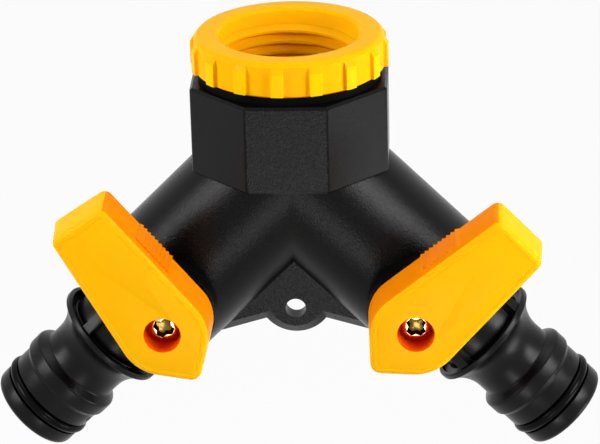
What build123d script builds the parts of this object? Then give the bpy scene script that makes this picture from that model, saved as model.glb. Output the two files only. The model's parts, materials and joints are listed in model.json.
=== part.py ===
from build123d import *
import os
from math import asin, atan2, cos, degrees, hypot, radians, sin, sqrt, tan

# Two-way hose splitter: a tap inlet on top, two ball valves and two click-fit outlets below.
# Millimetres. The origin is the centre of the face that the tap seals on, +Z is the inlet axis
# and points up to the tap, and the levers are on the -Y side.

# Shared
cut_over = 1.0
same_place = 0.01
thread_half_angle = 30.0

# Inlet: 3/4 inch hose thread in the reducer
tap_pitch = 2.209
tap_major_radius = 13.64
tap_thread_depth = 1.39
tap_crest_flat = 0.50
tap_crest_count = 5
mouth_height = 12.8
mouth_lip = 0.4
tap_washer_inset = 0.44
tap_washer_thick = 2.0
reducer_floor = 2.6
inlet_passage_radius = 8.0

# Reducer collar and its grip ribs
collar_inset = 0.55
collar_height = 7.05
collar_bevel = 0.8
grip_rib_count = 16
grip_rib_width = 2.3
grip_rib_proud = 0.8
grip_rib_lift = 0.6
grip_rib_drop = 0.9
grip_rib_slope = 1.1
grip_rib_phase = -4.5

# Reducer shank: 1 inch pipe thread into the body's socket
shank_pitch = 2.309
shank_wall = 1.96
shank_thread_depth = 0.95
shank_crest_flat = 0.5
shank_crest_count = 3
shank_neck_length = 1.9
shank_clearance = 0.3

# Octagonal socket on top of the body, and the gasket and washer that seal the reducer in it
socket_wall = 2.2
socket_height = 17.7
socket_below_collar = 1.55
socket_sides = 8
socket_corner_round = 0.8
socket_edge_chamfer = 0.5
gasket_wall = 2.0
face_gap = 0.05
socket_washer_thick = 2.0
socket_washer_gap = 0.1
socket_passage_radius = 7.5
running_gap = 0.1

# Y body
arm_angle = 45.0
arm_wall = 3.3
arm_length = 43.0
arm_drop = 0.75
passage_radius = 6.0

# Hanging plate between the arms
plate_thick = 3.6
plate_hole_radius = 2.05
plate_hole_drop = 31.15
lobe_radius = 7.5
lobe_drop = 29.75
plate_edge_drop = 34.25
plate_edge_half = 6.0
plate_edge_fall = 0.21
plate_chamfer = 2.2

# Valve: ball, seats and stem
ball_radius = 8.5
ball_bore_inset = 0.2
seat_gap = 0.1
seat_wall = 3.3
seat_bore_gap = 0.2
seat_thick = 2.3
seat_beyond_ball = 0.94
seat_to_chamber = 1.9
stem_radius = 3.4
stem_collar_radius = 4.7
stem_collar_thick = 1.5
stem_collar_inset = 0.5
stem_collar_gap = 0.1
stem_collar_side = 0.3
tang_width = 3.0
tang_depth = 2.0
tang_gap = 0.1
tang_to_seat = 1.2
stem_ring_section = 0.55
stem_ring_squeeze = 0.05
stem_ring_inset = 2.4
boss_radius = 9.6
boss_lip = 4.6
square_side = 4.6
square_gap = 0.05
square_length = 3.0

# Lever, its screw and its stop
lever_gap = 0.8
lever_thick = 9.0
lever_draft = 3.0
lever_reach = 28.1
lever_tip_half = 6.5
lever_shoulder_back = 3.9
lever_shoulder_half = 9.5
lever_heel_back = 12.6
lever_grip_round = 1.4
lever_shoulder_round = 9.0
lever_heel_round = 2.1
lever_front_round = 1.5
lever_wall = 1.8
lever_face = 2.0
lever_hub_radius = 5.4
lever_rib = 1.6
lever_cross_rib_count = 2
recess_radius = 3.6
recess_depth = 5.0
screw_head_radius = 2.95
screw_head_height = 1.5
screw_head_round = 1.1
screw_shank_radius = 1.3
screw_hole_gap = 0.15
screw_length = 9.0
cross_span = 4.3
cross_tip = 1.35
cross_waist = 1.55
cross_depth = 1.3
cross_taper = 12.0
left_screw_turn = 32.0
right_screw_turn = 1.0
tooth_count = 9
tooth_spacing = 1.04
tooth_start = 9.2
tooth_height = 0.45
tooth_rise = 0.35
tooth_length = 6.6
peg_radius = 0.7
peg_reach = 7.8
peg_length = 1.7
peg_side_gap = 0.2
peg_end_gap = 0.3

# Valve angles, from +X towards +Z, for the left and right lever as assembled and at the stops
left_lever_angle = 124.0
left_shut_angle = 124.0
left_open_angle = 225.0
right_lever_angle = 43.6
right_shut_angle = 55.0
right_open_angle = -45.0

# Outlet nipple, as distances along the arm from its end
plug_gap = 0.1
plug_depth = 3.5
plug_to_stem_collar = 0.42
nipple_collar_inset = 2.7
nipple_collar_end = 1.2
hub_radius = 9.3
cup_radius = 11.9
cup_wall = 1.0
cup_start = 9.3
cup_floor = 10.1
cup_end = 10.5
cup_round = 0.4
neck_radius = 8.4
neck_start = 17.0
neck_end = 19.6
bead_radius = 10.16
bead_start = 20.9
bead_end = 23.7
bead_round = 0.8
land_radius = 9.53
land_start = 24.6
groove_start = 28.0
groove_width = 2.6
outlet_ring_section = 1.0
outlet_ring_proud = 0.47
nipple_end = 34.1
end_chamfer = 0.7
fin_count = 4
fin_thick = 2.2
fin_reach = 11.2
plug_ring_section = 0.7
plug_ring_depth = 1.7
left_fin_phase = 35.0
right_fin_phase = 25.0

# Sizes and places that follow from the sizes above
tap_crest_radius = tap_major_radius - tap_thread_depth
tap_washer_radius = tap_major_radius - tap_washer_inset
shank_root_radius = tap_major_radius + shank_wall
shank_crest_radius = shank_root_radius + shank_thread_depth
socket_bore_radius = shank_crest_radius + shank_clearance
socket_flats = 2 * (socket_bore_radius + socket_wall)
collar_radius = socket_flats / 2 - collar_inset
collar_bottom = mouth_height - collar_height
socket_top = collar_bottom - socket_below_collar
socket_bottom = socket_top - socket_height
reducer_bottom = -tap_washer_thick - reducer_floor
socket_floor = reducer_bottom - socket_washer_gap - socket_washer_thick
arms_meet = socket_bottom - arm_drop
ball_bore_radius = passage_radius - ball_bore_inset
seat_bore_radius = passage_radius + seat_bore_gap
seat_outer_radius = seat_bore_radius + seat_wall
chamber_radius = seat_outer_radius + seat_to_chamber
arm_radius = chamber_radius + arm_wall
seat_far = sqrt((ball_radius + seat_gap) ** 2 - seat_bore_radius**2) + seat_beyond_ball
seat_near = seat_far - seat_thick
valve_from_end = plug_depth + plug_to_stem_collar + stem_collar_radius
plug_seat_depth = valve_from_end - seat_far
tang_reach = seat_near - tang_to_seat
valve_distance = arm_length - valve_from_end
valve_x = valve_distance * cos(radians(arm_angle))
valve_z = arms_meet - valve_distance * sin(radians(arm_angle))
stem_collar_front = chamber_radius + stem_collar_inset
stem_ring_depth = stem_collar_front + stem_ring_inset
boss_front = stem_ring_depth + boss_lip
lever_back = boss_front + lever_gap
nipple_collar_radius = arm_radius - nipple_collar_inset
stem_ring_radius = stem_radius + stem_ring_squeeze - stem_ring_section
outlet_ring_radius = land_radius + outlet_ring_proud - outlet_ring_section
plug_radius = chamber_radius - plug_gap
plug_ring_radius = chamber_radius - plug_ring_section
lever_front = lever_back + lever_thick
screw_seat = lever_front - recess_depth
stem_top = lever_back + square_length
seat_pocket_start = valve_distance - seat_far
chamber_start = valve_distance - seat_near

# A cylinder that stands on its own origin
upward = (Align.CENTER, Align.CENTER, Align.MIN)


def turned(points):
    """A solid turned about Z from its (radius, height) outline."""
    outline = Polyline(*[(radius, 0, height) for radius, height in points], close=True)
    return revolve(make_face(outline), Axis.Z, 360)


def tube(outer, inner, bottom, top):
    return turned([(inner, bottom), (outer, bottom), (outer, top), (inner, top)])


def polar(radius, angle):
    return (radius * cos(radians(angle)), radius * sin(radians(angle)))


def ridges(root, crest, flat, pitch, first, count):
    """Outline points of thread ridges, from the lowest up, with 60 degree flanks."""
    flank = abs(root - crest) * tan(radians(thread_half_angle))
    points = []
    for index in range(count):
        middle = first + index * pitch
        points.append((root, middle - flat / 2 - flank))
        points.append((crest, middle - flat / 2))
        points.append((crest, middle + flat / 2))
        points.append((root, middle + flat / 2 + flank))
    return points


def arm_frame(side):
    """The frame of one arm: its Z runs from where the arms meet out to the outlet."""
    along = (side * cos(radians(arm_angle)), 0, -sin(radians(arm_angle)))
    return Location(Plane(origin=(0, 0, arms_meet), x_dir=(0, -1, 0), z_dir=along))


def valve_frame(side, angle):
    """The frame of one valve: its X is the lever's length, its -Y faces the user."""
    return Location((side * valve_x, 0, valve_z)) * Location((0, 0, 0), (0, -angle, 0))


def from_front(radius, near, far):
    """A round bar about Y, from near to far in front of the mid-plane."""
    bar = Cylinder(radius, far - near, align=(Align.CENTER, Align.CENTER, Align.MIN))
    return Plane.XZ.offset(near) * bar


# Inlet

def thread_reducer():
    first_tap = tap_crest_flat / 2
    tap_ridges = ridges(
        tap_major_radius, tap_crest_radius, tap_crest_flat, tap_pitch, first_tap, tap_crest_count
    )
    flank = (shank_crest_radius - shank_root_radius) * tan(radians(thread_half_angle))
    shank_top = collar_bottom - shank_neck_length
    first_shank = shank_top - flank - shank_crest_flat / 2 - (shank_crest_count - 1) * shank_pitch
    shank_ridges = ridges(
        shank_root_radius, shank_crest_radius, shank_crest_flat, shank_pitch, first_shank,
        shank_crest_count,
    )
    outline = [(inlet_passage_radius, reducer_bottom), (shank_root_radius, reducer_bottom)]
    outline += shank_ridges
    outline += [
        (shank_root_radius, collar_bottom),
        (collar_radius, collar_bottom),
        (collar_radius, mouth_height - collar_bevel),
        (collar_radius - collar_bevel, mouth_height),
        (tap_major_radius + mouth_lip, mouth_height),
        (tap_major_radius, mouth_height - mouth_lip),
    ]
    outline += reversed(tap_ridges[1:])
    outline += [
        (tap_washer_radius, 0),
        (tap_washer_radius, -tap_washer_thick),
        (inlet_passage_radius, -tap_washer_thick),
    ]
    body = turned(outline)
    rib_bottom = collar_bottom + grip_rib_lift
    rib_top = mouth_height - grip_rib_drop
    rib_outline = Polyline(
        (collar_radius - cut_over, 0, rib_bottom),
        (collar_radius + grip_rib_proud, 0, rib_bottom),
        (collar_radius + grip_rib_proud, 0, rib_top - grip_rib_slope),
        (collar_radius, 0, rib_top),
        (collar_radius - cut_over, 0, rib_top),
        close=True,
    )
    rib = extrude(make_face(rib_outline), grip_rib_width / 2, both=True)
    for index in range(grip_rib_count):
        turn = -90 + grip_rib_phase + index * 360 / grip_rib_count
        body += Rot(0, 0, turn) * rib
    return body


def tap_washer():
    return tube(tap_washer_radius, inlet_passage_radius, -tap_washer_thick, 0)


def reducer_gasket():
    inner = shank_root_radius + shank_clearance
    return tube(inner + gasket_wall, inner, socket_top + face_gap, collar_bottom - face_gap)


def socket_washer():
    washer_top = socket_floor + socket_washer_thick
    return tube(shank_root_radius, inlet_passage_radius, socket_floor, washer_top)


# Y body

def hanging_plate():
    """The web between the arms, with a round lobe about its screw hole."""
    inside = arm_radius
    low = plate_edge_drop + plate_edge_fall * (inside + plate_edge_half)
    outline = Polyline(
        (0, 0),
        (-inside - plate_edge_half, -inside - plate_edge_half),
        (-inside - plate_edge_half, -low),
        (-plate_edge_half, -plate_edge_drop),
        (plate_edge_half, -plate_edge_drop),
        (inside + plate_edge_half, -low),
        (inside + plate_edge_half, -inside - plate_edge_half),
        close=True,
    )
    shape = make_face(outline) + Pos(0, -lobe_drop) * Circle(lobe_radius)
    front = Plane.XZ.offset(plate_thick / 2)
    plate = extrude(front * Pos(0, arms_meet) * shape, -plate_thick)
    face = plate.faces().sort_by(Axis.Y)[0]
    rim = [edge for edge in face.edges() if edge.center().Z < arms_meet - lobe_drop]
    return chamfer(rim, plate_chamfer)


def stop_groove(side, shut_angle, open_angle):
    """The arc in the boss that the lever's peg runs in, from one stop to the other."""
    spare = degrees(asin(peg_end_gap / peg_reach))
    low = min(shut_angle, open_angle) - spare
    sweep = abs(open_angle - shut_angle) + 2 * spare
    half = peg_radius + peg_side_gap
    ring = Circle(peg_reach + half) - Circle(peg_reach - half)
    steps = 8
    fan = [(0, 0)]
    for index in range(steps + 1):
        fan.append(polar(2 * peg_reach, low + sweep * index / steps))
    shape = ring & make_face(Polyline(*fan, close=True))
    for angle in (low, low + sweep):
        shape += Pos(polar(peg_reach, angle)) * Circle(half)
    floor = lever_back - peg_length - peg_side_gap
    cut = extrude(Plane.XZ.offset(floor) * shape, boss_front)
    return Pos(side * valve_x, 0, valve_z) * cut


def valve_boss_cuts(side, shut_angle, open_angle):
    """What is taken out of one boss: the stem's hole, its collar's seat and the stop groove."""
    collar_seat = stem_collar_front + stem_collar_gap
    hole = from_front(stem_radius + running_gap, 0, boss_front + cut_over)
    hole += from_front(stem_collar_radius + stem_collar_side, 0, collar_seat)
    return Pos(side * valve_x, 0, valve_z) * hole + stop_groove(side, shut_angle, open_angle)


def octagon():
    """The eight-sided block that the reducer screws into."""
    turn = 180 / socket_sides
    shape = RegularPolygon(socket_flats / 2, socket_sides, major_radius=False, rotation=turn)
    shape = fillet(shape.vertices(), socket_corner_round)
    block = extrude(Pos(0, 0, socket_bottom) * shape, socket_height)
    return chamfer(block.faces().filter_by(Axis.Z).edges(), socket_edge_chamfer)


def arms():
    """Both arms, mitred where they meet."""
    back_length = arm_radius + cut_over
    bar = Cylinder(arm_radius, arm_length + back_length, align=upward)
    arm = split(arm_frame(1) * Pos(0, 0, -back_length) * bar, bisect_by=Plane.YZ, keep=Keep.TOP)
    return arm + mirror(arm, about=Plane.YZ)


def water_ways():
    """The socket's bore, the passage below it, and each arm's passage, seat and chamber."""
    ways = Pos(0, 0, socket_floor) * Cylinder(socket_bore_radius, socket_height, align=upward)
    ways += Pos(0, 0, arms_meet) * Cylinder(socket_passage_radius, socket_height, align=upward)
    ways += Pos(0, 0, arms_meet) * Sphere(socket_passage_radius)
    bore = Cylinder(passage_radius, arm_length, align=upward)
    bore += Pos(0, 0, seat_pocket_start) * Cylinder(seat_outer_radius, arm_length, align=upward)
    bore += Pos(0, 0, chamber_start) * Cylinder(chamber_radius, arm_length, align=upward)
    for side in (-1, 1):
        ways += arm_frame(side) * bore
    return ways


def y_body():
    body = hanging_plate() + arms() + octagon()
    for side in (-1, 1):
        body += Pos(side * valve_x, 0, valve_z) * from_front(boss_radius, 0, boss_front)
    body -= water_ways()
    for side, shut_angle, open_angle in (
        (-1, left_shut_angle, left_open_angle),
        (1, right_shut_angle, right_open_angle),
    ):
        body -= valve_boss_cuts(side, shut_angle, open_angle)
        beyond = Cylinder(arm_radius + boss_radius, arm_radius, align=upward)
        body -= arm_frame(side) * Pos(0, 0, arm_length) * beyond
    hole = Plane.XZ.offset(-plate_thick) * Cylinder(plate_hole_radius, 4 * plate_thick)
    return body - Pos(0, 0, arms_meet - plate_hole_drop) * hole


# Valves, each in its own frame: the ball's centre, X along the lever, -Y to the front

def seat(near, far):
    """A seat ring about Z, hollowed to the ball, from near to far along the arm."""
    ring = tube(seat_outer_radius, seat_bore_radius, near, far)
    return ring - Sphere(ball_radius + seat_gap)


def valve_ball():
    ball = Sphere(ball_radius) - Rot(0, 90, 0) * Cylinder(ball_bore_radius, 3 * ball_radius)
    slot_width = tang_width + 2 * tang_gap
    slot = Box(slot_width, tang_depth, 3 * ball_radius, align=(Align.CENTER, Align.MIN, Align.CENTER))
    return ball - Pos(0, -ball_radius, 0) * slot


def valve_stem():
    """Collar inside the boss, a groove for its O-ring, a square for the lever, a blade for the ball."""
    collar_back = stem_collar_front - stem_collar_thick
    stem = from_front(stem_radius, collar_back, lever_back)
    stem += from_front(stem_collar_radius, collar_back, stem_collar_front)
    half_groove = stem_ring_section + tang_gap
    groove = from_front(stem_radius + cut_over, stem_ring_depth - half_groove, stem_ring_depth + half_groove)
    stem -= groove - from_front(stem_ring_radius - stem_ring_section, 0, stem_top)
    to_front = (Align.CENTER, Align.MAX, Align.CENTER)
    stem += Pos(0, -lever_back, 0) * Box(square_side, square_length, square_side, align=to_front)
    blade = from_front(tang_reach, ball_radius - tang_depth, collar_back)
    stem += blade & Box(tang_width, 4 * ball_radius, 2 * ball_radius)
    return stem - from_front(screw_shank_radius, screw_seat - screw_length, stem_top + cut_over)


def stem_o_ring():
    ring = Rot(90, 0, 0) * Torus(stem_ring_radius, stem_ring_section)
    return Pos(0, -stem_ring_depth, 0) * ring


# Lever, the same moulding on both sides

def lever_side(reach):
    """Half the lever's width at its back, at a distance along it from the pivot."""
    share = (lever_reach - reach) / (lever_reach + lever_shoulder_back)
    return lever_tip_half + share * (lever_shoulder_half - lever_tip_half)


def lever_outline():
    outline = Polyline(
        (lever_reach, lever_tip_half),
        (-lever_shoulder_back, lever_shoulder_half),
        (-lever_heel_back, 0),
        (-lever_shoulder_back, -lever_shoulder_half),
        (lever_reach, -lever_tip_half),
        close=True,
    )
    shape = make_face(outline)
    for place, rounding in (
        (lever_reach, lever_grip_round),
        (-lever_shoulder_back, lever_shoulder_round),
        (-lever_heel_back, lever_heel_round),
    ):
        corners = [corner for corner in shape.vertices() if abs(corner.X - place) < same_place]
        shape = fillet(corners, rounding)
    return shape


def lever_hollow(shape):
    """The open back of the lever, around its hub, its long rib and its cross ribs."""
    depth = lever_thick - lever_face
    hollow = extrude(Plane.XZ.offset(lever_back) * offset(shape, -lever_wall), depth)
    hollow -= from_front(lever_hub_radius, 0, lever_front)
    along = (Align.MIN, Align.MAX, Align.CENTER)
    hollow -= Box(lever_reach, lever_front, lever_rib, align=along)
    to_front = (Align.CENTER, Align.MAX, Align.CENTER)
    parts_of_reach = lever_cross_rib_count + 2
    for index in range(2, parts_of_reach):
        place = lever_reach * index / parts_of_reach
        across = Box(lever_rib, depth, 2 * lever_shoulder_half, align=to_front)
        hollow -= Pos(place, -lever_back - lever_rib, 0) * across
    return hollow


def lever_teeth():
    """Saw teeth on one long side, from the back edge towards the front."""
    points = [(tooth_start, lever_side(tooth_start) - tooth_height)]
    for index in range(tooth_count):
        root = tooth_start + index * tooth_spacing
        crest = root + tooth_rise * tooth_spacing
        points.append((root, lever_side(root)))
        points.append((crest, lever_side(crest) + tooth_height))
    end = tooth_start + tooth_count * tooth_spacing
    points.append((end, lever_side(end)))
    points.append((end, lever_side(end) - tooth_height))
    profile = Plane.XZ.offset(lever_back) * make_face(Polyline(*points, close=True))
    return extrude(profile, tooth_length, dir=(0, -1, -tan(radians(lever_draft))))


def lever():
    shape = lever_outline()
    body = extrude(Plane.XZ.offset(lever_back) * shape, lever_thick, taper=lever_draft)
    front_edges = body.faces().sort_by(Axis.Y)[0].edges()
    body = fillet(front_edges, lever_front_round)
    teeth = lever_teeth()
    body += teeth
    body += mirror(teeth, about=Plane.XY)
    body -= lever_hollow(shape)
    body += Pos(peg_reach, 0, 0) * from_front(peg_radius, lever_back - peg_length, lever_back + cut_over)
    socket = square_side + 2 * square_gap
    body -= Box(socket, stem_top, socket, align=(Align.CENTER, Align.MAX, Align.CENTER))
    body -= from_front(screw_shank_radius + screw_hole_gap, 0, lever_front)
    return body - from_front(recess_radius, screw_seat, lever_front + cut_over)


def lever_screw(turn):
    """A pan head screw with a cross recess, turned by an angle about its own length."""
    head_front = screw_seat + screw_head_height
    head = from_front(screw_head_radius, screw_seat, head_front)
    head = fillet(head.edges().sort_by(Axis.Y)[0], screw_head_round)
    points = []
    for index in range(4):
        arm = turn + 90 * index
        tip = degrees(atan2(cross_tip, cross_span))
        points.append(polar(hypot(cross_span, cross_tip) / 2, arm - tip))
        points.append(polar(hypot(cross_span, cross_tip) / 2, arm + tip))
        points.append(polar(cross_waist, arm + 45))
    cross = Plane.XZ.offset(head_front) * make_face(Polyline(*points, close=True))
    head -= extrude(cross, -cross_depth, taper=cross_taper)
    return head + from_front(screw_shank_radius, screw_seat - screw_length, screw_seat)


# Outlets, each in the frame of its arm's end

def outlet_nipple(fin_phase):
    rise = cup_radius - neck_radius
    run = neck_start - cup_end
    bend = (rise**2 + run**2) / (2 * rise)
    half_turn = asin(run / bend) / 2
    neck_middle = (neck_radius + bend * (1 - cos(half_turn)), 0, neck_start - bend * sin(half_turn))
    neck_arc = ThreePointArc((cup_radius, 0, cup_end), neck_middle, (neck_radius, 0, neck_start))
    ring_floor = outlet_ring_radius - outlet_ring_section
    plug_groove = plug_ring_radius - plug_ring_section
    plug_low = -plug_ring_depth - plug_ring_section - plug_gap
    plug_high = -plug_ring_depth + plug_ring_section + plug_gap
    outside = [
        (neck_radius, neck_start),
        (neck_radius, neck_end),
        (bead_radius, bead_start),
        (bead_radius, bead_end),
        (land_radius, land_start),
        (land_radius, groove_start),
        (ring_floor, groove_start),
        (ring_floor, groove_start + groove_width),
        (land_radius, groove_start + groove_width),
        (land_radius, nipple_end - end_chamfer),
        (land_radius - end_chamfer, nipple_end),
    ]
    inside = [
        (passage_radius, nipple_end),
        (passage_radius, -plug_seat_depth),
        (seat_outer_radius, -plug_seat_depth),
        (seat_outer_radius, -plug_depth),
    ]
    plug = [
        (plug_radius, -plug_depth),
        (plug_radius, plug_low),
        (plug_groove, plug_low),
        (plug_groove, plug_high),
        (plug_radius, plug_high),
        (plug_radius, 0),
        (nipple_collar_radius, 0),
        (nipple_collar_radius, nipple_collar_end),
        (hub_radius, nipple_collar_end),
        (hub_radius, cup_floor),
        (cup_radius - cup_wall, cup_floor),
        (cup_radius - cup_wall, cup_start),
        (cup_radius, cup_start),
        (cup_radius, cup_end),
    ]
    rest = Polyline(*[(radius, 0, place) for radius, place in outside + inside + plug])
    profile = make_face([*rest.edges(), neck_arc])
    for radius, place, rounding in (
        (bead_radius, bead_start, bead_round),
        (bead_radius, bead_end, bead_round),
        (neck_radius, neck_end, bead_round),
        (cup_radius, cup_start, cup_round),
        (cup_radius, cup_end, cup_round),
    ):
        corner = Vector(radius, 0, place)
        near = [point for point in profile.vertices() if (point.center() - corner).length < same_place]
        profile = fillet(near, rounding)
    nipple = revolve(profile, Axis.Z, 360)
    fin_root = passage_radius + cut_over
    fin = Box(
        fin_reach - fin_root,
        fin_thick,
        cup_floor - nipple_collar_end,
        align=(Align.MIN, Align.CENTER, Align.MIN),
    )
    for index in range(fin_count):
        turn = fin_phase + index * 360 / fin_count
        nipple += Rot(0, 0, turn) * Pos(fin_root, 0, nipple_collar_end) * fin
    return nipple


parts = {
    "thread_reducer": thread_reducer(),
    "tap_washer": tap_washer(),
    "reducer_gasket": reducer_gasket(),
    "socket_washer": socket_washer(),
    "y_body": y_body(),
}
for word, side, angle, screw_turn, fin_phase in (
    ("left", -1, left_lever_angle, left_screw_turn, left_fin_phase),
    ("right", 1, right_lever_angle, right_screw_turn, right_fin_phase),
):
    valve = valve_frame(side, angle)
    parts[f"{word}_valve_ball"] = valve * valve_ball()
    parts[f"{word}_valve_stem"] = valve * valve_stem()
    parts[f"{word}_stem_o_ring"] = valve * stem_o_ring()
    parts[f"{word}_lever"] = valve * lever()
    parts[f"{word}_lever_screw"] = valve * lever_screw(screw_turn)
    arm_end = arm_frame(side) * Pos(0, 0, arm_length)
    ball_place = arm_end * Pos(0, 0, -valve_from_end)
    parts[f"{word}_inner_seat"] = ball_place * seat(-seat_far, -seat_near)
    parts[f"{word}_outer_seat"] = ball_place * seat(seat_near, seat_far)
    parts[f"{word}_outlet_nipple"] = arm_end * outlet_nipple(fin_phase)
    plug_ring = Torus(plug_ring_radius, plug_ring_section)
    parts[f"{word}_plug_o_ring"] = arm_end * Pos(0, 0, -plug_ring_depth) * plug_ring
    outlet_ring = Torus(outlet_ring_radius, outlet_ring_section)
    parts[f"{word}_outlet_o_ring"] = arm_end * Pos(0, 0, groove_start + groove_width / 2) * outlet_ring

os.makedirs("parts", exist_ok=True)
for name, solid in parts.items():
    export_step(solid, f"parts/{name}.step")
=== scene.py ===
import bpy
import json
from math import atan2, cos, degrees, hypot, pi, radians, sin, tan
from mathutils import Matrix, Vector


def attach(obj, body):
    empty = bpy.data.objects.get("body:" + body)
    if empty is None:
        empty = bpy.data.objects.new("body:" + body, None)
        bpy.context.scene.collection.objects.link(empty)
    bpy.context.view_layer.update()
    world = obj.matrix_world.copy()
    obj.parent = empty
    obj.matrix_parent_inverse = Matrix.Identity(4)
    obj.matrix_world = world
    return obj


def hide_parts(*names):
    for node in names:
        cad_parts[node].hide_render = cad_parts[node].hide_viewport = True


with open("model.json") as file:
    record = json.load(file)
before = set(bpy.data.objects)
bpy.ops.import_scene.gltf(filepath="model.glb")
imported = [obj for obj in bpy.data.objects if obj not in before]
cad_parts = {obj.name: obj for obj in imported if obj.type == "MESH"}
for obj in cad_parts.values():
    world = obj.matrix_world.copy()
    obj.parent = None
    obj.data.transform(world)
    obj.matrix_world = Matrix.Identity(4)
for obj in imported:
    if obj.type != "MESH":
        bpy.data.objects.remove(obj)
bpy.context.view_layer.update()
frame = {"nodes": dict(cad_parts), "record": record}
mm = 0.001

view = {
    "target": (1.206, 0.0, -27.37),  # the point that the camera aims at, in mm
    "distance": 586.2,
    "azimuth": 3.03,
    "elevation": 23.39,
    "roll": -1.50,
    "lens": 177.09,
    "sensor": 36.0,
}


def placeCamera():
    turn = Matrix.Rotation(radians(view["azimuth"]), 4, "Z")
    turn = turn @ Matrix.Rotation(radians(90 - view["elevation"]), 4, "X")
    turn = turn @ Matrix.Rotation(radians(view["roll"]), 4, "Z")
    target = Matrix.Translation(Vector(view["target"]) * mm)
    away = Matrix.Translation((0, 0, view["distance"] * mm))
    bpy.ops.object.camera_add()
    camera = bpy.context.object
    camera.name = "camera"
    camera.data.lens = view["lens"]
    camera.data.sensor_width = view["sensor"]
    camera.matrix_world = target @ turn @ away
    bpy.context.scene.camera = camera
    print("camera placed")


studio = {
    "floorHeight": -260.0,
    "floorSize": 16000.0,
    "floorColour": (0.82, 0.82, 0.82, 1.0),
    "floorGlow": 0.95,  # how far the floor shows as plain white, from 0 to 1
    "worldColour": (1, 1, 1, 1),
    "worldGlow": 0.95,  # seen beyond the floor's edge
    "worldLight": (0.14, 0.34),  # as light on the object: from the front, and from the back
    "worldChange": (-0.6, 0.7),  # the directions along Y between which that light changes
    "lampTarget": (0, 0, -30),  # the point that the softboxes face, in mm
    "softboxes": (  # name, direction from the object, distance, width, height, radiance
        ("rightSoftbox", (0.80, -0.42, 0.42), 300, 145, 160, 12.0),
        ("leftSoftbox", (-0.82, -0.38, 0.42), 300, 145, 160, 9.5),
        ("frontSoftbox", (0.02, -0.92, -0.40), 420, 120, 120, 8.0),
        ("rightLowSoftbox", (0.88, -0.20, -0.40), 330, 140, 100, 6.5),
        ("topSoftbox", (0.0, 0.25, 1.0), 400, 260, 200, 2.2),
    ),
}


def showsBackground(nodes, links):
    rays = nodes.new("ShaderNodeLightPath")
    shows = rays.outputs["Is Camera Ray"]
    for kind in ("Is Glossy Ray", "Is Transmission Ray"):
        either = nodes.new("ShaderNodeMath")
        either.operation = "MAXIMUM"
        links.new(shows, either.inputs[0])
        links.new(rays.outputs[kind], either.inputs[1])
        shows = either.outputs[0]
    return shows


def mapRange(nodes, links, source, span, result):
    ranged = nodes.new("ShaderNodeMapRange")
    for name, value in zip(("From Min", "From Max", "To Min", "To Max"), span + result):
        ranged.inputs[name].default_value = value
    links.new(source, ranged.inputs["Value"])
    return ranged


def buildFloor():
    height = studio["floorHeight"] * mm
    bpy.ops.mesh.primitive_plane_add(size=studio["floorSize"] * mm, location=(0, 0, height))
    floor = bpy.context.object
    floor.name = "floor"
    paint = bpy.data.materials.new("paleFloor")
    paint.use_nodes = True
    nodes, links = paint.node_tree.nodes, paint.node_tree.links
    nodes.clear()
    flat = nodes.new("ShaderNodeBsdfDiffuse")
    flat.inputs["Color"].default_value = studio["floorColour"]
    glow = nodes.new("ShaderNodeEmission")
    seen = nodes.new("ShaderNodeMath")
    seen.operation = "MULTIPLY"
    seen.inputs[1].default_value = studio["floorGlow"]
    links.new(showsBackground(nodes, links), seen.inputs[0])
    mixed = nodes.new("ShaderNodeMixShader")
    links.new(seen.outputs[0], mixed.inputs["Fac"])
    links.new(flat.outputs[0], mixed.inputs[1])
    links.new(glow.outputs[0], mixed.inputs[2])
    out = nodes.new("ShaderNodeOutputMaterial")
    links.new(mixed.outputs[0], out.inputs["Surface"])
    floor.data.materials.append(paint)


def buildWorld():
    world = bpy.data.worlds.new("studioWorld")
    bpy.context.scene.world = world
    world.use_nodes = True
    nodes, links = world.node_tree.nodes, world.node_tree.links
    nodes.clear()
    back = nodes.new("ShaderNodeBackground")
    back.inputs["Color"].default_value = studio["worldColour"]
    way = nodes.new("ShaderNodeTexCoord")
    parts = nodes.new("ShaderNodeSeparateXYZ")
    links.new(way.outputs["Generated"], parts.inputs["Vector"])
    level = mapRange(nodes, links, parts.outputs["Y"], studio["worldChange"], studio["worldLight"])
    level.interpolation_type = "SMOOTHSTEP"
    strength = nodes.new("ShaderNodeMix")
    links.new(showsBackground(nodes, links), strength.inputs["Factor"])
    links.new(level.outputs["Result"], strength.inputs["A"])
    strength.inputs["B"].default_value = studio["worldGlow"]
    links.new(strength.outputs["Result"], back.inputs["Strength"])
    out = nodes.new("ShaderNodeOutputWorld")
    links.new(back.outputs[0], out.inputs["Surface"])


def placeSoftboxes():
    middle = Vector(studio["lampTarget"]) * mm
    for name, direction, distance, width, height, radiance in studio["softboxes"]:
        bpy.ops.object.light_add(type="AREA")
        lamp = bpy.context.object
        lamp.name = name
        way = Vector(direction).normalized()
        lamp.location = middle + way * distance * mm
        lamp.rotation_euler = way.to_track_quat("Z", "Y").to_euler()
        lamp.data.shape = "RECTANGLE"
        lamp.data.size = width * mm
        lamp.data.size_y = height * mm
        lamp.visible_camera = False
        lamp.data.energy = radiance * pi * width * height * mm * mm
    print("studio lit")


placeCamera()
buildFloor()
buildWorld()
placeSoftboxes()
bpy.context.scene.view_settings.view_transform = "Standard"


# Materials. A noise is its scale in features per metre, because one unit is a metre, and its
# detail. A noise that also raises bumps has their strength and their depth in mm after that.

noiseSpan = (0.3, 0.7)  # most values of a noise lie between these


def newPaint(name, colour, level):
    paint = bpy.data.materials.new(name)
    paint.use_nodes = True
    shader = paint.node_tree.nodes["Principled BSDF"]
    shader.inputs["Base Color"].default_value = colour
    shader.inputs["Specular IOR Level"].default_value = level
    return paint, paint.node_tree.nodes, paint.node_tree.links, shader


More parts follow.
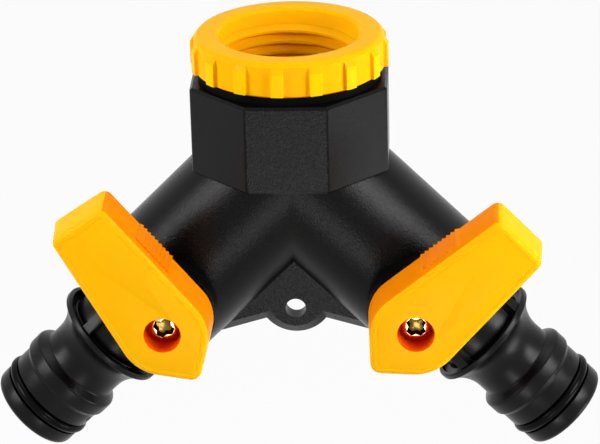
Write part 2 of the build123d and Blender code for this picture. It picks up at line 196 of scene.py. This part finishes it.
def noiseAt(nodes, links, scale, detail):
    place = nodes.new("ShaderNodeTexCoord")
    noise = nodes.new("ShaderNodeTexNoise")
    noise.inputs["Scale"].default_value = scale
    noise.inputs["Detail"].default_value = detail
    links.new(place.outputs["Object"], noise.inputs["Vector"])
    return noise.outputs["Fac"]


def bumpyNoise(nodes, links, row, before=None):
    scale, detail, strength, depth = row
    noise = noiseAt(nodes, links, scale, detail)
    bump = nodes.new("ShaderNodeBump")
    bump.inputs["Strength"].default_value = strength
    bump.inputs["Distance"].default_value = depth * mm
    links.new(noise, bump.inputs["Height"])
    if before is not None:
        links.new(before, bump.inputs["Normal"])
    return noise, bump.outputs["Normal"]


def spread(nodes, links, source, low, high):
    return mapRange(nodes, links, source, noiseSpan, (low, high)).outputs["Result"]


def tint(nodes, links, shader, source, plain, other):
    mixed = nodes.new("ShaderNodeMix")
    mixed.data_type = "RGBA"
    mixed.inputs["A"].default_value = plain
    mixed.inputs["B"].default_value = other
    links.new(spread(nodes, links, source, 0, 1), mixed.inputs["Factor"])
    links.new(mixed.outputs["Result"], shader.inputs["Base Color"])


blackBody = {
    "colour": (0.0016, 0.0016, 0.0018, 1),
    "paleGrain": (0.004, 0.004, 0.0042, 1),
    "roughness": (0.15, 0.26),
    "specular": 0.105,
    "ripple": (260, 2, 0.3, 0.05),
    "grain": (3000, 3, 0.6, 0.14),
}


def makeBlackBody():
    paint, nodes, links, shader = newPaint("blackBody", blackBody["colour"], blackBody["specular"])
    wavy = bumpyNoise(nodes, links, blackBody["ripple"])[1]
    grain, grainy = bumpyNoise(nodes, links, blackBody["grain"], wavy)
    links.new(grainy, shader.inputs["Normal"])
    links.new(spread(nodes, links, grain, *blackBody["roughness"]), shader.inputs["Roughness"])
    tint(nodes, links, shader, grain, blackBody["colour"], blackBody["paleGrain"])
    return paint


blackSatin = {
    "colour": (0.002, 0.002, 0.0022, 1),
    "roughness": (0.24, 0.36),
    "specular": 0.14,
    "patch": (420, 4, 0.25, 0.02),
    "grain": (5200, 2, 0.4, 0.012),
}


def makeBlackSatin():
    paint, nodes, links, shader = newPaint("blackSatin", blackSatin["colour"], blackSatin["specular"])
    patch, wavy = bumpyNoise(nodes, links, blackSatin["patch"])
    grainy = bumpyNoise(nodes, links, blackSatin["grain"], wavy)[1]
    links.new(grainy, shader.inputs["Normal"])
    links.new(spread(nodes, links, patch, *blackSatin["roughness"]), shader.inputs["Roughness"])
    return paint


blackRubber = {
    "colour": (0.002, 0.002, 0.002, 1),
    "kinds": {  # lowest and highest roughness, specular
        "oiledRubber": (0.16, 0.30, 0.06),
        "dryRubber": (0.60, 0.75, 0.03),
    },
    "dust": (1500, 3, 0.3, 0.01),
}


def makeBlackRubber(name):
    low, high, level = blackRubber["kinds"][name]
    paint, nodes, links, shader = newPaint(name, blackRubber["colour"], level)
    dust, dusty = bumpyNoise(nodes, links, blackRubber["dust"])
    links.new(dusty, shader.inputs["Normal"])
    links.new(spread(nodes, links, dust, low, high), shader.inputs["Roughness"])
    return paint


orangePlastic = {
    "colours": {  # the second of each pair shows in broad soft patches
        "orangeFace": ((1.0, 0.49, 0.002, 1), (1.0, 0.47, 0.002, 1)),
        # a lighter copy of the same plastic: painted light on the adapter's ribs
        "orangeRibPaintedLight": ((1.0, 0.585, 0.002, 1), (1.0, 0.565, 0.002, 1)),
        # a darker copy of the same plastic: painted shade for long sides, backs and undersides
        "orangePaintedShade": ((1.0, 0.27, 0.002, 1), (1.0, 0.25, 0.001, 1)),
        # a deep red copy of the same plastic: painted shade inside the lever's screw recess
        "orangeRecessPaintedShade": ((1.0, 0.11, 0.002, 1), (1.0, 0.09, 0.001, 1)),
    },
    "roughness": (0.3, 0.4),
    "specular": 0.03,
    "scatter": (0.35, 0.8),  # share of the light that goes under the surface, and how far in mm
    # stronger scatter for the painted recess shade
    "deepScatter": {"orangeRecessPaintedShade": (0.9, 3.0)},
    "scatterColour": (1.0, 0.30, 0.03),
    "patch": (130, 3),
    "grain": (4200, 3, 0.4, 0.01),
}


def makeOrangePlastic(name):
    plain, patchy = orangePlastic["colours"][name]
    paint, nodes, links, shader = newPaint(name, plain, orangePlastic["specular"])
    patch = noiseAt(nodes, links, *orangePlastic["patch"])
    tint(nodes, links, shader, patch, plain, patchy)
    links.new(spread(nodes, links, patch, *orangePlastic["roughness"]), shader.inputs["Roughness"])
    grainy = bumpyNoise(nodes, links, orangePlastic["grain"])[1]
    links.new(grainy, shader.inputs["Normal"])
    share, reach = orangePlastic["deepScatter"].get(name, orangePlastic["scatter"])
    shader.inputs["Subsurface Weight"].default_value = share
    shader.inputs["Subsurface Radius"].default_value = orangePlastic["scatterColour"]
    shader.inputs["Subsurface Scale"].default_value = reach * mm
    return paint


screwMetal = {
    "colours": {
        "screwMetal": ((0.66, 0.46, 0.18, 1), (0.85, 0.70, 0.42, 1)),
        # a dark copy of the screw metal: painted shade inside the cross recess
        "screwCrossPaintedShade": ((0.10, 0.06, 0.015, 1), (0.20, 0.13, 0.03, 1)),
    },
    "metallic": 1.0,
    "specular": 0.5,
    "roughness": (0.10, 0.22),
    "smear": (900, 3),
    "scratch": (5200, 2, 0.2, 0.008),
}


def makeScrewMetal(name):
    plain, pale = screwMetal["colours"][name]
    paint, nodes, links, shader = newPaint(name, plain, screwMetal["specular"])
    shader.inputs["Metallic"].default_value = screwMetal["metallic"]
    smear = noiseAt(nodes, links, *screwMetal["smear"])
    tint(nodes, links, shader, smear, plain, pale)
    links.new(spread(nodes, links, smear, *screwMetal["roughness"]), shader.inputs["Roughness"])
    scratched = bumpyNoise(nodes, links, screwMetal["scratch"])[1]
    links.new(scratched, shader.inputs["Normal"])
    return paint


whitePlastic = {
    "kinds": {  # colour, lowest and highest roughness, specular
        "whiteSeat": ((0.84, 0.84, 0.80, 1), 0.5, 0.65, 0.3),
        "valvePlastic": ((0.74, 0.74, 0.71, 1), 0.28, 0.4, 0.5),
    },
    "tooling": (1800, 3, 0.3, 0.008),
}


def makeWhitePlastic(name):
    colour, low, high, level = whitePlastic["kinds"][name]
    paint, nodes, links, shader = newPaint(name, colour, level)
    tooling, tooled = bumpyNoise(nodes, links, whitePlastic["tooling"])
    links.new(tooled, shader.inputs["Normal"])
    links.new(spread(nodes, links, tooling, low, high), shader.inputs["Roughness"])
    return paint


# By slot, and by a name of its own where a slot has a second look: dry rubber, and copies of orange
# plastic and screw metal that carry painted light and painted shade.
paints = {
    "black_body": makeBlackBody(),
    "black_satin": makeBlackSatin(),
    "black_rubber": makeBlackRubber("oiledRubber"),
    "dryRubber": makeBlackRubber("dryRubber"),
    "orange_plastic": makeOrangePlastic("orangeFace"),
    "orangePaintedShade": makeOrangePlastic("orangePaintedShade"),
    "orangeRibPaintedLight": makeOrangePlastic("orangeRibPaintedLight"),
    "orangeRecessPaintedShade": makeOrangePlastic("orangeRecessPaintedShade"),
    "screw_metal": makeScrewMetal("screwMetal"),
    "screwCrossPaintedShade": makeScrewMetal("screwCrossPaintedShade"),
    "white_seat": makeWhitePlastic("whiteSeat"),
    "valve_plastic": makeWhitePlastic("valvePlastic"),
}
print("materials made")


def paintWhole(piece, paint):
    piece.data.materials.clear()
    piece.data.materials.append(paints[paint])


def paintFaces(piece, paint, test):
    piece.data.materials.append(paints[paint])
    slot = len(piece.data.materials) - 1
    for face in piece.data.polygons:
        if test(face.center / mm, face.normal):
            face.material_index = slot


def paintNodes():
    for row in frame["record"]["subparts"]:
        flat = row["node"].endswith(("washer", "gasket"))
        paintWhole(frame["nodes"][row["node"]], "dryRubber" if flat else row["material_slot"])
    print("carried parts painted")


paintNodes()


# Modelling helpers. Lengths are given in mm and put on the mesh in metres, angles in degrees.

weld = 0.001  # points closer than this are merged
nearby = 0.01  # places closer than this count as the same one
squareOn = 0.99  # a face faces along an axis when its normal's share of it is more than this
bevelSegments = 2
usualSmoothing = 40  # edges sharper than this stay sharp


def selectOnly(piece):
    bpy.ops.object.select_all(action="DESELECT")
    piece.select_set(True)
    bpy.context.view_layer.objects.active = piece


def keepPlace(piece):
    selectOnly(piece)
    bpy.ops.object.transform_apply(location=True, rotation=True, scale=True)


def smooth(piece, angle):
    selectOnly(piece)
    bpy.ops.object.shade_smooth_by_angle(angle=radians(angle))


def drawLine(name, points):
    points = [Vector(point) * mm for point in points]
    bpy.ops.object.select_all(action="DESELECT")
    bpy.ops.mesh.primitive_plane_add(size=mm, location=points[0])
    piece = bpy.context.object
    piece.name = name
    bpy.ops.object.mode_set(mode="EDIT")
    bpy.ops.mesh.select_mode(type="VERT")
    bpy.ops.mesh.merge(type="CENTER")
    for here, there in zip(points, points[1:]):
        bpy.ops.mesh.extrude_region_move(TRANSFORM_OT_translate={"value": there - here})
    return piece


def settle(piece):
    bpy.ops.mesh.select_all(action="SELECT")
    bpy.ops.mesh.remove_doubles(threshold=weld * mm)
    bpy.ops.mesh.normals_make_consistent(inside=False)
    bpy.ops.object.mode_set(mode="OBJECT")
    keepPlace(piece)


def lathe(name, points, steps, axis=(0, 0, 1), centre=(0, 0, 0)):
    piece = drawLine(name, points)
    bpy.ops.mesh.select_all(action="SELECT")
    bpy.ops.mesh.spin(steps=steps, angle=2 * pi, center=Vector(centre) * mm, axis=axis)
    settle(piece)
    return piece


def roundBar(name, radius, near, far, steps, x=0.0):
    outline = [(x, -near, 0), (x + radius, -near, 0), (x + radius, -far, 0), (x, -far, 0)]
    return lathe(name, outline, steps, (0, 1, 0), (x, 0, 0))


def prism(name, points, way, taper=None, about=(0, 0, 0)):
    piece = drawLine(name, points)
    bpy.ops.mesh.select_all(action="SELECT")
    bpy.ops.mesh.edge_face_add()
    bpy.ops.mesh.extrude_region_move(TRANSFORM_OT_translate={"value": Vector(way) * mm})
    if taper:
        bpy.ops.transform.resize(value=taper, center_override=Vector(about) * mm)
    settle(piece)
    return piece


def block(name, low, high):
    x, y, z = low
    corners = [(x, y, z), (high[0], y, z), (high[0], y, high[2]), (x, y, high[2])]
    return prism(name, corners, (0, high[1] - y, 0))


def roundedOutline(corners, steps):
    spots = [Vector((x, z)) for x, z, radius in corners]
    points = []
    for index, (x, z, radius) in enumerate(corners):
        if radius == 0:
            points.append(spots[index])
            continue
        back = (spots[index - 1] - spots[index]).normalized()
        ahead = (spots[(index + 1) % len(spots)] - spots[index]).normalized()
        half = back.angle(ahead) / 2
        middle = spots[index] + (back + ahead).normalized() * radius / sin(half)
        first = spots[index] + back * radius / tan(half) - middle
        last = spots[index] + ahead * radius / tan(half) - middle
        sweep = first.angle_signed(last)
        for step in range(steps + 1):
            points.append(middle + Matrix.Rotation(-sweep * step / steps, 2) @ first)
    return points


def select(piece, kind, test):
    bpy.ops.object.mode_set(mode="OBJECT")
    selectOnly(piece)
    for group in (piece.data.vertices, piece.data.edges, piece.data.polygons):
        group.foreach_set("select", [False] * len(group))
    if kind == "FACE":
        for face in piece.data.polygons:
            face.select = test(face.center / mm, face.normal)
    elif kind == "EDGE":
        spots = [corner.co / mm for corner in piece.data.vertices]
        for edge in piece.data.edges:
            edge.select = test(*[spots[index] for index in edge.vertices])
    else:
        for corner in piece.data.vertices:
            corner.select = test(corner.co / mm)
    bpy.ops.object.mode_set(mode="EDIT")
    bpy.ops.mesh.select_mode(type=kind)


def scaleAboutAxis(scale):
    bpy.ops.transform.resize(value=(scale, scale, 1), center_override=(0, 0, 0))


def modify(piece, kind, **settings):
    bpy.ops.object.mode_set(mode="OBJECT")
    selectOnly(piece)
    modifier = piece.modifiers.new(kind.lower(), kind)
    for name, value in settings.items():
        setattr(modifier, name, value)
    bpy.ops.object.modifier_apply(modifier=modifier.name)


def combine(piece, tool, operation):
    modify(piece, "BOOLEAN", operation=operation, object=tool, solver="MANIFOLD")
    bpy.data.objects.remove(tool)


def join(piece, *others):
    selectOnly(piece)
    for other in others:
        other.select_set(True)
    bpy.ops.object.join()


def softenEdges(piece, width, angle):
    modify(piece, "BEVEL", width=width * mm, segments=bevelSegments, limit_method="ANGLE",
           angle_limit=radians(angle), harden_normals=False, miter_outer="MITER_ARC")
    smooth(piece, usualSmoothing)


def copyOf(piece, name):
    twin = piece.copy()
    twin.data = piece.data.copy()
    twin.name = name
    bpy.context.collection.objects.link(twin)
    return twin


def rowNamed(rows, name):
    return next(row for row in rows if row["name"] == name)


def finish(piece, node, body, slot):
    if not any(piece.data.materials):
        paintWhole(piece, slot)
    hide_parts(node)
    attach(piece, body)


adapter = {
    "sides": 304,  # 19 for each rib and its gap
    "outline": (  # radius, height
        (8.0, -4.6), (15.1, -4.6), (15.6, -4.1), (15.6, 5.75), (17.7, 5.75), (18.5, 6.25), (18.5, 6.35),
        (18.5, 10.8), (18.5, 11.9), (18.5, 12.05), (17.75, 12.79), (14.15, 12.79), (13.64, 12.25),
        (13.64, 0.0), (13.2, 0.0), (13.2, -2.0), (8.0, -2.0), (8.0, -4.6),
    ),
    "wall": 18.5,  # radius between the ribs
    "wallMargin": 0.1,
    "ribs": 16,
    "ribSides": 6,
    "ribTurn": -94.5,
    "ribProud": 0.8,
    "ribHeights": (6.35, 11.9),  # bottom and top; the slope starts at the outline's point between
    "ribReach": 19.0,  # only the ribs lie further out than this
    "softening": (0.16, 30),  # width, and the least angle that is softened
    "shadeTop": 6.3,  # the underside and the shank below this height get painted shade
    "shadeReach": 14.64,  # and lie further out than this
    "shadeTilt": 0.5,  # and their normals rise less than this
    "flankAngle": 30,
    "threadSteps": 72,  # in one turn
    "threadSmoothing": 25,
    "fadeSteps": 9,  # over which a thread's end sinks into its wall
    "fadePower": 1.5,
    "tapThread": {
        "root": 13.79, "crest": 12.25, "flat": 0.5, "pitch": 2.209, "from": 1.25, "to": 9.05,
        "fade": 1.13,  # scale of the very end
    },
    "shankThread": {
        "root": 15.45, "crest": 16.55, "flat": 0.5, "pitch": 2.309, "from": -3.4, "to": 2.7,
        "fade": 0.93,
    },
}


def fadeRing(piece, ring, corners, scale):
    bpy.ops.object.mode_set(mode="OBJECT")
    first = corners * ring
    picked = [first <= index < first + corners for index in range(len(piece.data.vertices))]
    for group in (piece.data.edges, piece.data.polygons):
        group.foreach_set("select", [False] * len(group))
    piece.data.vertices.foreach_set("select", picked)
    bpy.ops.object.mode_set(mode="EDIT")
    bpy.ops.mesh.select_mode(type="VERT")
    scaleAboutAxis(scale)


def helixThread(name, size):
    flank = abs(size["root"] - size["crest"]) * tan(radians(adapter["flankAngle"]))
    half = size["flat"] / 2
    heights = (-half - flank, -half, half, half + flank)
    radii = (size["root"], size["crest"], size["crest"], size["root"])
    outline = [(radius, 0, size["from"] + height) for radius, height in zip(radii, heights)]
    piece = drawLine(name, outline + outline[:1])
    settle(piece)
    rise = size["to"] - size["from"]
    turns = rise / size["pitch"]
    steps = round(adapter["threadSteps"] * turns)
    modify(piece, "SCREW", axis="Z", angle=2 * pi * turns, screw_offset=rise * mm, iterations=1,
           steps=steps, render_steps=steps, use_normal_calculate=True)
    fade = adapter["fadeSteps"]
    for step in range(fade):
        scale = 1 + (size["fade"] - 1) * (1 - step / fade) ** adapter["fadePower"]
        for ring in (step, steps - step):
            fadeRing(piece, ring, len(outline), scale)
    bpy.ops.mesh.select_all(action="SELECT")
    bpy.ops.mesh.fill_holes(sides=len(outline))
    settle(piece)
    smooth(piece, adapter["threadSmoothing"])
    return piece


def buildAdapter():
    low, high = adapter["ribHeights"]
    wall = adapter["wall"]
    start = radians(adapter["ribTurn"])
    points = [(radius * cos(start), radius * sin(start), height) for radius, height in adapter["outline"]]
    ring = lathe("threadAdapter", points, adapter["sides"])
    period = 360 / adapter["ribs"]
    half = adapter["ribSides"] / 2 * 360 / adapter["sides"]

    def startsRib(place, normal):
        turn = (degrees(atan2(place.y, place.x)) - adapter["ribTurn"] + period / 2) % period - period / 2
        onWall = hypot(place.x, place.y) > wall - adapter["wallMargin"]
        return abs(turn) < half and low < place.z < high and onWall

    def onRib(place, normal=None):
        return hypot(place.x, place.y) > adapter["ribReach"]

    def isShaded(place, normal):
        outside = hypot(place.x, place.y) > adapter["shadeReach"]
        return place.z < adapter["shadeTop"] and normal.z < adapter["shadeTilt"] and outside

    select(ring, "FACE", startsRib)
    grow = 1 + adapter["ribProud"] / wall
    bpy.ops.mesh.extrude_region_move()
    scaleAboutAxis(grow)
    select(ring, "VERT", lambda spot: onRib(spot) and spot.z > high - nearby)
    scaleAboutAxis(1 / grow)
    settle(ring)
    softenEdges(ring, *adapter["softening"])
    tapThread = helixThread("tapThread", adapter["tapThread"])
    join(ring, tapThread, helixThread("shankThread", adapter["shankThread"]))
    finish(ring, "thread_reducer", "reducer", "orange_plastic")
    # painted shade on the adapter's underside and shank
    paintFaces(ring, "orangePaintedShade", isShaded)
    # painted light on the ribs
    paintFaces(ring, "orangeRibPaintedLight", onRib)
    print("thread adapter modelled", len(ring.data.polygons))


lever = {
    "corners": (  # along the lever, across it, corner radius
        (28.1, 6.5, 1.6), (-3.9, 9.5, 9.0), (-12.6, 0.0, 2.2), (-3.9, -9.5, 9.0), (28.1, -6.5, 1.6),
    ),
    "cornerSteps": 8,
    "back": 19.7,  # distance of the back in front of the mid-plane
    "depth": 8.99,
    "draft": (0.977, 1.0, 0.943),
    "draftCentre": 7.75,
    "edgeRound": 1.0,
    "edgeSegments": 5,
    "groove": (0.05, 0.25, 0.07),  # distance inside the rounded edge, half its width, depth
    "wall": 1.8,
    "faceThick": 2.0,
    "sunk": 0.3,  # how far the hub and the ribs run into the face
    "hub": 5.4,
    "rib": 1.6,
    "longRib": (4.0, 27.0, 0.4),  # start, end, and how far it stays inside the back
    "crossRibs": (14.0, 21.0),
    "crossInset": 1.2,  # from a cross rib's end to the outside
    "recess": (3.6, 5.0),  # radius, depth
    "socket": 4.7,
    "socketDepth": 3.0,
    "screwHole": 1.45,
    "peg": (7.8, 0.7, 1.7, 4.0),  # distance from the pivot, radius, length, length inside
    "overcut": 1.0,  # how far a cut starts outside the surface
    "softening": (0.09, 50),
    "smoothing": 22,
    "teeth": {
        "count": 9, "spacing": 1.04, "start": 9.2, "proud": 0.45, "rootProud": 0.07, "rise": 0.35,
        "length": 6.6, "sunk": 0.6, "lean": 3,
    },
    # Painted shade goes on backs and long sides. Of the normals: least along +Y of a back, then most along
    # Y and least along Z of a side.
    "shadeTilts": (0.5, 0.4, 0.72),
    "recessShade": (0.05, 0.3, 0.1),  # past the recess's radius, below its rim, past its floor
    "leftAngle": 124.0,  # from +X towards +Z
    "rightAngle": 43.6,
}


def leverSide(reach):
    (farX, farZ, _), (nearX, nearZ, _) = lever["corners"][:2]
    return farZ + (farX - reach) / (farX - nearX) * (nearZ - farZ)


def leverTeeth():
    size = lever["teeth"]
    step, start = size["spacing"], size["start"]
    points = [(start, leverSide(start) - size["sunk"])]
    for index in range(size["count"]):
        root = start + index * step
        crest = root + size["rise"] * step
        points += [(root, leverSide(root) + size["rootProud"]), (crest, leverSide(crest) + size["proud"])]
    end = start + size["count"] * step
    points += [(end, leverSide(end) + size["rootProud"]), (end, leverSide(end) - size["sunk"])]
    way = (0, -size["length"], -size["length"] * tan(radians(size["lean"])))
    return prism("leverTeeth", [(x, -lever["back"], z) for x, z in points], way)


def leverShell(back, front):
    outline = roundedOutline(lever["corners"], lever["cornerSteps"])
    points = [(point.x, -back, point.y) for point in outline]
    about = (lever["draftCentre"], -front, 0)
    body = prism("leverBody", points, (0, -lever["depth"], 0), lever["draft"], about)
    select(body, "EDGE", lambda one, two: max(abs(one.y + front), abs(two.y + front)) < nearby)
    bpy.ops.mesh.bevel(offset=lever["edgeRound"] * mm, segments=lever["edgeSegments"], affect="EDGES")
    select(body, "FACE", lambda place, normal: normal.y < -squareOn)
    inside, halfWidth, deep = lever["groove"]
    for thickness, rise in ((inside, 0), (halfWidth, -deep), (halfWidth, deep)):
        bpy.ops.mesh.inset(thickness=thickness * mm, depth=rise * mm)
    select(body, "FACE", lambda place, normal: normal.y > squareOn and place.y > -back - nearby)
    bpy.ops.mesh.inset(thickness=lever["wall"] * mm)
    inward = (0, (lever["faceThick"] - lever["depth"]) * mm, 0)
    bpy.ops.mesh.extrude_region_move(TRANSFORM_OT_translate={"value": inward})
    bpy.ops.object.mode_set(mode="OBJECT")
    return body


def addInnards(body, back, front):
    inner = front - lever["faceThick"] + lever["sunk"]
    combine(body, roundBar("hub", lever["hub"], back, inner, steps=64), "UNION")
    half = lever["rib"] / 2
    start, end, inset = lever["longRib"]
    combine(body, block("longRib", (start, -back - inset, -half), (end, -inner, half)), "UNION")
    for place in lever["crossRibs"]:
        reach = leverSide(place) - lever["crossInset"]
        low = (place - half, -back - lever["rib"], -reach)
        combine(body, block("crossRib", low, (place + half, -inner, reach)), "UNION")
    place, radius, length, within = lever["peg"]
    combine(body, roundBar("peg", radius, back - length, back + within, steps=24, x=place), "UNION")


def cutOpenings(body, back, front):
    over = lever["overcut"]
    radius, depth = lever["recess"]
    combine(body, roundBar("recess", radius, front - depth, front + over, steps=72), "DIFFERENCE")
    half = lever["socket"] / 2
    deep = (half, -back - lever["socketDepth"], half)
    combine(body, block("socket", (-half, -back + over, -half), deep), "DIFFERENCE")
    hole = roundBar("screwHole", lever["screwHole"], back, front - depth + over, steps=32)
    combine(body, hole, "DIFFERENCE")


def addTeeth(body):
    teeth = leverTeeth()
    otherTeeth = copyOf(teeth, "otherTeeth")
    selectOnly(otherTeeth)
    bpy.ops.transform.mirror(constraint_axis=(False, False, True), center_override=(0, 0, 0))
    bpy.ops.object.mode_set(mode="EDIT")
    settle(otherTeeth)
    combine(body, teeth, "UNION")
    combine(body, otherTeeth, "UNION")


def buildLever():
    back = lever["back"]
    front = back + lever["depth"]
    body = leverShell(back, front)
    addInnards(body, back, front)
    cutOpenings(body, back, front)
    softenEdges(body, *lever["softening"])
    addTeeth(body)
    smooth(body, lever["smoothing"])
    backward, along, across = lever["shadeTilts"]
    radius, depth = lever["recess"]
    outward, below, beyond = lever["recessShade"]

    def isShaded(place, normal):
        return normal.y > backward or abs(normal.y) < along and abs(normal.z) > across

    def inRecess(place, normal):
        around = hypot(place.x, place.z) < radius + outward
        return around and -front + below < place.y < -front + depth + beyond

    paintWhole(body, "orange_plastic")
    # painted shade on the lever's long sides and open back
    paintFaces(body, "orangePaintedShade", isShaded)
    # painted shade inside the screw recess
    paintFaces(body, "orangeRecessPaintedShade", inRecess)
    return body


screw = {
    "sides": 64,
    "head": 2.95,
    "height": 1.5,
    "round": 1.1,
    "roundSteps": 6,
    "crown": 0.02,
    "seat": 23.7,  # distance of the head's seat in front of the mid-plane
    "shank": 1.3,
    "length": 9.0,
    "span": 4.3,  # of the cross, from tip to tip
    "tip": 1.35,
    "waist": 1.55,
    "crossDepth": 1.25,
    "crossTaper": (0.72, 1, 0.72),
    "overcut": 0.3,
    "softening": (0.07, 35),
    "shadeFrom": 0.12,  # depth below the head's front
    "shadeReach": 2.3,
    "leftTurn": 32.0,
    "rightTurn": 1.0,
}


def buildScrew():
    seat, head, rounding, shank = screw["seat"], screw["head"], screw["round"], screw["shank"]
    front, end = seat + screw["height"], seat - screw["length"]
    outline = [(0, end), (shank, end), (shank, seat), (head, seat), (head, front - rounding)]
    for step in range(1, screw["roundSteps"] + 1):
        angle = radians(90 * step / screw["roundSteps"])
        outline.append((head - rounding + rounding * cos(angle), front - rounding + rounding * sin(angle)))
    outline.append((0, front + screw["crown"]))
    points = [(radius, -place, 0) for radius, place in outline]
    piece = lathe("screw", points, screw["sides"], (0, 1, 0))
    tip = degrees(atan2(screw["tip"], screw["span"]))
    reach = hypot(screw["span"], screw["tip"]) / 2
    points = []
    for arm in (0, 90, 180, 270):
        for distance, angle in ((reach, arm - tip), (reach, arm + tip), (screw["waist"], arm + 45)):
            x, z = distance * cos(radians(angle)), distance * sin(radians(angle))
            points.append((x, -front - screw["overcut"], z))
    way = (0, screw["crossDepth"] + screw["overcut"], 0)
    combine(piece, prism("cross", points, way, screw["crossTaper"]), "DIFFERENCE")
    softenEdges(piece, *screw["softening"])

    def inCross(place, normal):
        deep = -front + screw["shadeFrom"] < place.y < -seat
        return deep and hypot(place.x, place.z) < screw["shadeReach"]

    paintWhole(piece, "screw_metal")
    # painted shade inside the cross recess
    paintFaces(piece, "screwCrossPaintedShade", inCross)
    return piece


def placeOnValve(piece, word, turn=0.0):
    row = rowNamed(frame["record"]["behaviour"]["joints"], word + "_valve_turn")
    turned = Matrix.Rotation(-radians(lever[word + "Angle"] + turn), 4, "Y")
    piece.matrix_world = Matrix.Translation(row["pos_m"]) @ turned
    keepPlace(piece)


def buildValves():
    firstHandle = buildLever()
    firstScrew = buildScrew()
    for word in ("left", "right"):
        handle = copyOf(firstHandle, word + "LeverHandle")
        placeOnValve(handle, word)
        finish(handle, word + "_lever", word + "_valve", "orange_plastic")
        fastener = copyOf(firstScrew, word + "Screw")
        placeOnValve(fastener, word, screw[word + "Turn"])
        finish(fastener, word + "_lever_screw", word + "_valve", "screw_metal")
    for piece in (firstHandle, firstScrew):
        bpy.data.objects.remove(piece)
    print("levers and screws modelled")


nipple = {
    "sides": 160,
    "outline": (  # radius, distance along the arm from its end, corner radius
        (6.0, 34.1, 0.25), (6.0, -1.72, 0), (9.5, -1.72, 0), (9.5, -3.5, 0), (11.3, -3.5, 0.3),
        (11.3, -2.5, 0), (10.0, -2.5, 0), (10.0, -0.9, 0), (11.3, -0.9, 0), (11.3, 0.0, 0),
        (12.0, 0.0, 0.15), (12.0, 1.2, 0.3), (9.3, 1.2, 0.3), (9.3, 10.1, 0.3), (10.9, 10.1, 0.3),
        (10.9, 9.3, 0.15), (11.9, 9.3, 0.35), (11.9, 10.5, 0.35),
    ),
    "neck": (8.4, 17.0),  # radius, and where its curve ends
    "neckBend": 7.786,
    "neckTurn": 56.6,  # angle of the curve
    "neckSteps": 10,
    "rest": (
        (8.4, 19.6, 0.8), (10.16, 20.9, 0.8), (10.16, 23.7, 0.8), (9.53, 24.6, 0.3), (9.53, 28.0, 0.15),
        (8.0, 28.0, 0.2), (8.0, 30.6, 0.2), (9.53, 30.6, 0.15), (9.53, 34.1, 1.2),
    ),
    "cornerSteps": 4,
    "fins": 4,
    "fin": (7.5, 11.2, 2.2, 0.8, 10.3),  # inner and outer reach, thickness, start, end
    "softening": (0.07, 35),
    "leftTurn": 35.0,
    "rightTurn": 25.0,
    "gateMark": (  # radius, height
        (0, 0), (0.75, 0), (0.75, 0.3), (0.63, 0.42), (0.4, 0.44), (0.3, 0.36), (0, 0.36),
    ),
    "gateSides": 32,
    "gatePlace": (9.15, 25.9),  # reach, distance along the arm
    "gateTurn": -99.0,
    "mountPlace": 22.376,  # distance of the outlet's mount from the arm's end
}


def nippleProfile():
    radius, end = nipple["neck"]
    bend, steps = nipple["neckBend"], nipple["neckSteps"]
    curve = []
    for step in range(1, steps + 1):
        angle = radians(nipple["neckTurn"]) * (1 - step / steps)
        curve.append((radius + bend * (1 - cos(angle)), end - bend * sin(angle), 0))
    corners = nipple["outline"] + tuple(curve) + nipple["rest"]
    return [(point.x, 0, point.y) for point in roundedOutline(corners, nipple["cornerSteps"])]


def buildNipple():
    profile = nippleProfile()
    piece = lathe("nipple", profile + profile[:1], nipple["sides"])
    inner, outer, thick, start, end = nipple["fin"]
    for index in range(nipple["fins"]):
        fin = block("fin", (inner, -thick / 2, start), (outer, thick / 2, end))
        fin.rotation_euler.z = radians(360 * index / nipple["fins"])
        combine(piece, fin, "UNION")
    softenEdges(piece, *nipple["softening"])
    points = [(radius, 0, height) for radius, height in nipple["gateMark"]]
    mark = lathe("gateMark", points, nipple["gateSides"])
    reach, along = nipple["gatePlace"]
    place = Matrix.Translation((reach * mm, 0, along * mm))
    place = Matrix.Rotation(radians(nipple["gateTurn"]), 4, "Z") @ place
    mark.matrix_world = place @ Matrix.Rotation(pi / 2, 4, "Y")
    keepPlace(mark)
    join(piece, mark)
    return piece


def buildNipples():
    first = buildNipple()
    for word in ("left", "right"):
        piece = copyOf(first, word + "OutletNipple")
        mount = rowNamed(frame["record"]["mounts"], word + "_outlet")
        along = Vector(mount["axis"]).normalized()
        front = Vector((0, -1, 0))
        turn = Matrix((front, along.cross(front), along)).transposed().to_4x4()
        origin = Vector(mount["pos_m"]) - along * nipple["mountPlace"] * mm
        ownTurn = Matrix.Rotation(radians(nipple[word + "Turn"]), 4, "Z")
        piece.matrix_world = Matrix.Translation(origin) @ turn @ ownTurn
        keepPlace(piece)
        finish(piece, word + "_outlet_nipple", "splitter_body", "black_satin")
    bpy.data.objects.remove(first)
    print("nipples modelled", len(piece.data.polygons))


buildAdapter()
buildValves()
buildNipples()
